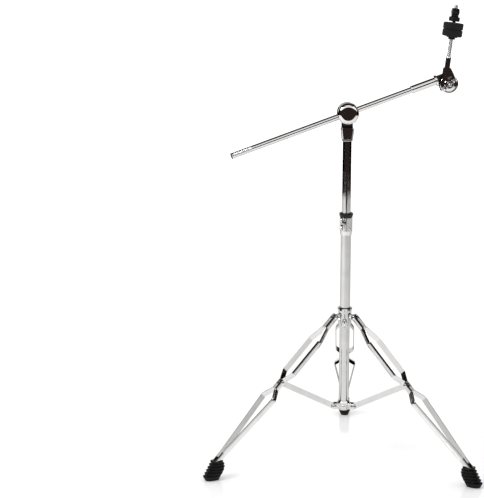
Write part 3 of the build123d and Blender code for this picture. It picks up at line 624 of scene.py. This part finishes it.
# ---- rubber feet --------------------------------------------------------------------
# A foot is a stack of fins. Each ring of its skin has a height, the reach of the fin that it
# belongs to, and a cut: how deep it lies inside the tips of that fin. A level higher, the fins
# reach FRONT_STEP less far in front, and their heels follow half a wave of HEEL_LEVELS levels.
FOOT_MOUNT_INSET = 1.25 * MM
FOOT_SEGMENTS = 112
FOOT_SQUARENESS = 2.35
FOOT_REACH = 20.0 * MM
FOOT_HALF_WIDTH = 13.3 * MM
FIN_COUNT = 6
FIN_LOW = 9.5 * MM
FIN_PITCH = 6.3 * MM
FRONT_STEP = 3.5 * MM
WIDTH_STEP = 0.25 * MM
HEEL_SWELL = 9.5 * MM
HEEL_LEVELS = 6.2
HEEL_CUT = 0.45
SIDE_CUT = 0.5
TIP = 0.9 * MM
TIP_UNDER_CUT = 0.35 * MM
TIP_OVER_CUT = 0.15 * MM
TOOTH = 4.6 * MM
TOOTH_ROOT = 0.4 * MM
TOOTH_FLANK = 0.62 * TOOTH
SOLE_INSETS = (4.0 * MM, 4.5 * MM, 3.5 * MM)
SOLE_EDGE = ((0.0, 1.2 * MM), (0.35 * MM, 0.4 * MM), (1.2 * MM, 0.0))
CLOSED_TOP = ((0.7 * TIP, 1.6 * MM), (0.2 * TIP, 4.0 * MM), (-0.6 * TIP, 8.0 * MM))


def fin_reach(level):
    """Inner and outer reach of a level's fin from the foot's middle, and its half width."""
    outer = FOOT_REACH - level * FRONT_STEP
    inner = FOOT_REACH + math.sin(math.pi * level / HEEL_LEVELS) * HEEL_SWELL
    return inner, outer, FOOT_HALF_WIDTH - level * WIDTH_STEP


def rounded(value):
    """Cosine or sine raised so that a circle becomes a rounded rectangle."""
    return math.copysign(abs(value) ** (2 / FOOT_SQUARENESS), value)


def foot_ring(middle, radial, height, reach, cut):
    """One oval ring of the foot around its upright middle line, longest along radial."""
    inner, outer, half_width = reach
    back = inner - HEEL_CUT * cut
    front = outer - cut
    half = (front + back) / 2
    shift = (front - back) / 2
    width = half_width - SIDE_CUT * cut
    side = UP.cross(radial)
    ring = []
    for step in range(FOOT_SEGMENTS):
        angle = 2 * math.pi * step / FOOT_SEGMENTS
        ahead = radial * (shift + half * rounded(math.cos(angle)))
        across = side * (width * rounded(math.sin(angle)))
        ring.append(middle + ahead + across + UP * height)
    return ring


def fin_tip(height, reach, peak_drop):
    """Rows of a fin's rounded tip, whose farthest ring lies peak_drop below its height."""
    return [
        (height - TIP, reach, TIP_UNDER_CUT),
        (height - peak_drop, reach, 0.0),
        (height + 0.5 * TIP, reach, TIP_OVER_CUT),
    ]


def foot_rows():
    """(height, reach, cut) of every ring of the foot, from its sole to its closed top."""
    lowest = fin_reach(0)
    sole = tuple(value - inset for value, inset in zip(lowest, SOLE_INSETS))
    rows = [(height, sole, cut) for height, cut in SOLE_EDGE]
    rows += fin_tip(FIN_LOW, lowest, peak_drop=0.0)
    for level in range(1, FIN_COUNT):
        below = FIN_LOW + (level - 1) * FIN_PITCH
        reach = fin_reach(level)
        rows += [
            (below + 0.9 * TIP, fin_reach(level - 1), TOOTH + TOOTH_ROOT),
            (below + 1.6 * TIP, reach, TOOTH),
            (below + 0.55 * FIN_PITCH, reach, TOOTH_FLANK),
        ]
        rows += fin_tip(below + FIN_PITCH, reach, peak_drop=0.3 * TIP)
    top = FIN_COUNT - 1
    crown = FIN_LOW + top * FIN_PITCH
    rows += [(crown + rise, fin_reach(top), cut) for rise, cut in CLOSED_TOP]
    return rows


def rubber_foot(name, finishes):
    """Rubber boot with stacked saw-tooth fins: flat on top, sloping underneath."""
    mount = named(frame["record"]["mounts"], f"floor_{name}")
    radial = joint_axis(f"{name}_leg_fold").cross(UP)
    middle = Vector(mount["pos_m"]) + radial * FOOT_MOUNT_INSET
    rings = [foot_ring(middle, radial, *row) for row in foot_rows()]
    foot = skin(f"{name}_foot_ribbed", rings, finishes["foot_rubber"])
    settle(foot, f"{name}_leg", f"{name}_foot")


def detailed_pieces(finishes):
    """Builds every piece that takes the place of a plainer CAD node."""
    cymbal_rod(finishes)
    ratchet_bolt(finishes)
    eye_bolt(finishes)
    boom(finishes)
    felt("lower_felt_pad", "lower_felt", "cymbal_arm", 3.0, finishes)
    felt("upper_felt_pad", "upper_felt", "upper_felt", 11.0, finishes)
    for name in ("right", "back", "left"):
        rubber_foot(name, finishes)


# ---- studio -------------------------------------------------------------------------
GROUND = Vector((COLUMN.x, COLUMN.y, 0))
FLOOR_RADIUS = 3.4
FLOOR_STEPS = 240
FLOOR_NOTCH = 0.8
FLOOR_NOTCH_ANGLE = 14.0
FRONT_ANGLE = 270
HALF_TURN = 180


def studio_floor():
    """White floor around the stand; a narrow notch in front gives the tubes their dark line."""
    points = []
    for step in range(FLOOR_STEPS):
        angle = 360 * step / FLOOR_STEPS
        from_front = (angle - FRONT_ANGLE + HALF_TURN) % 360 - HALF_TURN
        radius = FLOOR_RADIUS - FLOOR_NOTCH * math.exp(-(from_front / FLOOR_NOTCH_ANGLE) ** 2)
        turn = math.radians(angle)
        points.append((GROUND.x + radius * math.cos(turn), GROUND.y + radius * math.sin(turn), 0))
    mesh = bpy.data.meshes.new("studio_floor")
    mesh.from_pydata(points, [], [tuple(range(FLOOR_STEPS))])
    mesh.materials.append(floor_white())
    link_object("studio_floor", mesh)


BLACK = grey(0.0)
DARK = (0.020, 0.014, 0.012)
SHADE = (0.10, 0.09, 0.09)
SOFT = grey(0.95)
WHITE = grey(1.0)
DOME = grey(0.80)
SKY_STRENGTH = 1.35

# Stops are (position, colour). Depth runs from 0 in front of the stand to 1 behind it, height
# from 0 at the horizon to 1 overhead.
FRONT_CARD_DEPTH = ((0.30, WHITE), (0.36, DARK))
FRONT_CARD_HEIGHT = ((0.28, DARK), (0.36, SOFT), (0.70, SOFT), (0.74, SHADE), (0.80, SHADE),
                     (0.84, WHITE))
BACK_CARD_DEPTH = ((0.75, BLACK), (0.82, WHITE))
BACK_CARD_HEIGHT = ((0.0, BLACK), (0.02, WHITE), (0.32, WHITE), (0.40, BLACK))


def studio_world():
    """White cards for the chrome to reflect, an even dome for matt surfaces, white behind it all.

    The cards stand high in front and low behind; the rest of the room is dark, which, with the
    chrome's painted edge shade, draws the dark lines along the chrome's edges.
    """
    world = bpy.data.worlds.new("studio")
    bpy.context.scene.world = world
    world.use_nodes = True
    graph = Graph(world.node_tree)
    direction = graph.add("ShaderNodeTexCoord").outputs["Generated"]
    split = graph.add("ShaderNodeSeparateXYZ")
    graph.link(direction, split.inputs["Vector"])
    height = split.outputs["Z"]
    depth = graph.span(split.outputs["Y"], 0.0, 1.0, source=(-1.0, 1.0))
    front_card = graph.mix("MULTIPLY", graph.ramp(depth, FRONT_CARD_DEPTH),
                           graph.ramp(height, FRONT_CARD_HEIGHT))
    back_card = graph.mix("MULTIPLY", graph.ramp(depth, BACK_CARD_DEPTH),
                          graph.ramp(height, BACK_CARD_HEIGHT))
    cards = graph.mix("LIGHTEN", front_card, back_card)
    path = graph.add("ShaderNodeLightPath")
    lit = graph.mix("MIX", cards, DOME, path.outputs["Is Diffuse Ray"])
    seen = graph.mix("MIX", lit, WHITE, path.outputs["Is Camera Ray"])
    background = world.node_tree.nodes["Background"]
    background.inputs["Strength"].default_value = SKY_STRENGTH
    graph.link(seen, background.inputs["Color"])


# Name, place and aim from the column's foot, width and height, power in watts.
LIGHTS = (
    ("key_light", (-2.4, -1.4, 2.4), (-1.7, -1.1, 0), (1.4, 1.4), 60),
    ("fill_light", (1.9, -0.6, 1.9), (0, 0, 0), (1.0, 1.6), 5),
)


def studio_lights():
    """Two soft rectangular lights."""
    for name, place, aim, size, watts in LIGHTS:
        data = bpy.data.lights.new(name, "AREA")
        data.shape = "RECTANGLE"
        data.size, data.size_y = size
        data.energy = watts
        light = link_object(name, data)
        light.location = GROUND + Vector(place)
        toward = GROUND + Vector(aim) - (GROUND + Vector(place))
        light.rotation_euler = toward.to_track_quat("-Z", "Y").to_euler()


CAMERA_TILT = 12.0
CAMERA_DISTANCE = 3.421
CAMERA_LENS = 113.4
CAMERA_SENSOR = 36.0
LOOK_LEFT_OF_COLUMN = 0.2262
LOOK_HEIGHT = 0.4789


def studio_camera():
    """Camera in front of the stand, a little above it, aimed left of the column."""
    target = Vector((COLUMN.x - LOOK_LEFT_OF_COLUMN, COLUMN.y, LOOK_HEIGHT))
    tilt = math.radians(CAMERA_TILT)
    data = bpy.data.cameras.new("camera")
    data.sensor_width = CAMERA_SENSOR
    data.lens = CAMERA_LENS
    camera = link_object("camera", data)
    camera.location = target + CAMERA_DISTANCE * Vector((0, -math.cos(tilt), math.sin(tilt)))
    camera.rotation_euler = (math.radians(90) - tilt, 0, 0)
    bpy.context.scene.camera = camera


detailed_pieces(dress_cad_nodes())
studio_floor()
studio_world()
studio_lights()
studio_camera()
bpy.context.scene.view_settings.view_transform = "Standard"
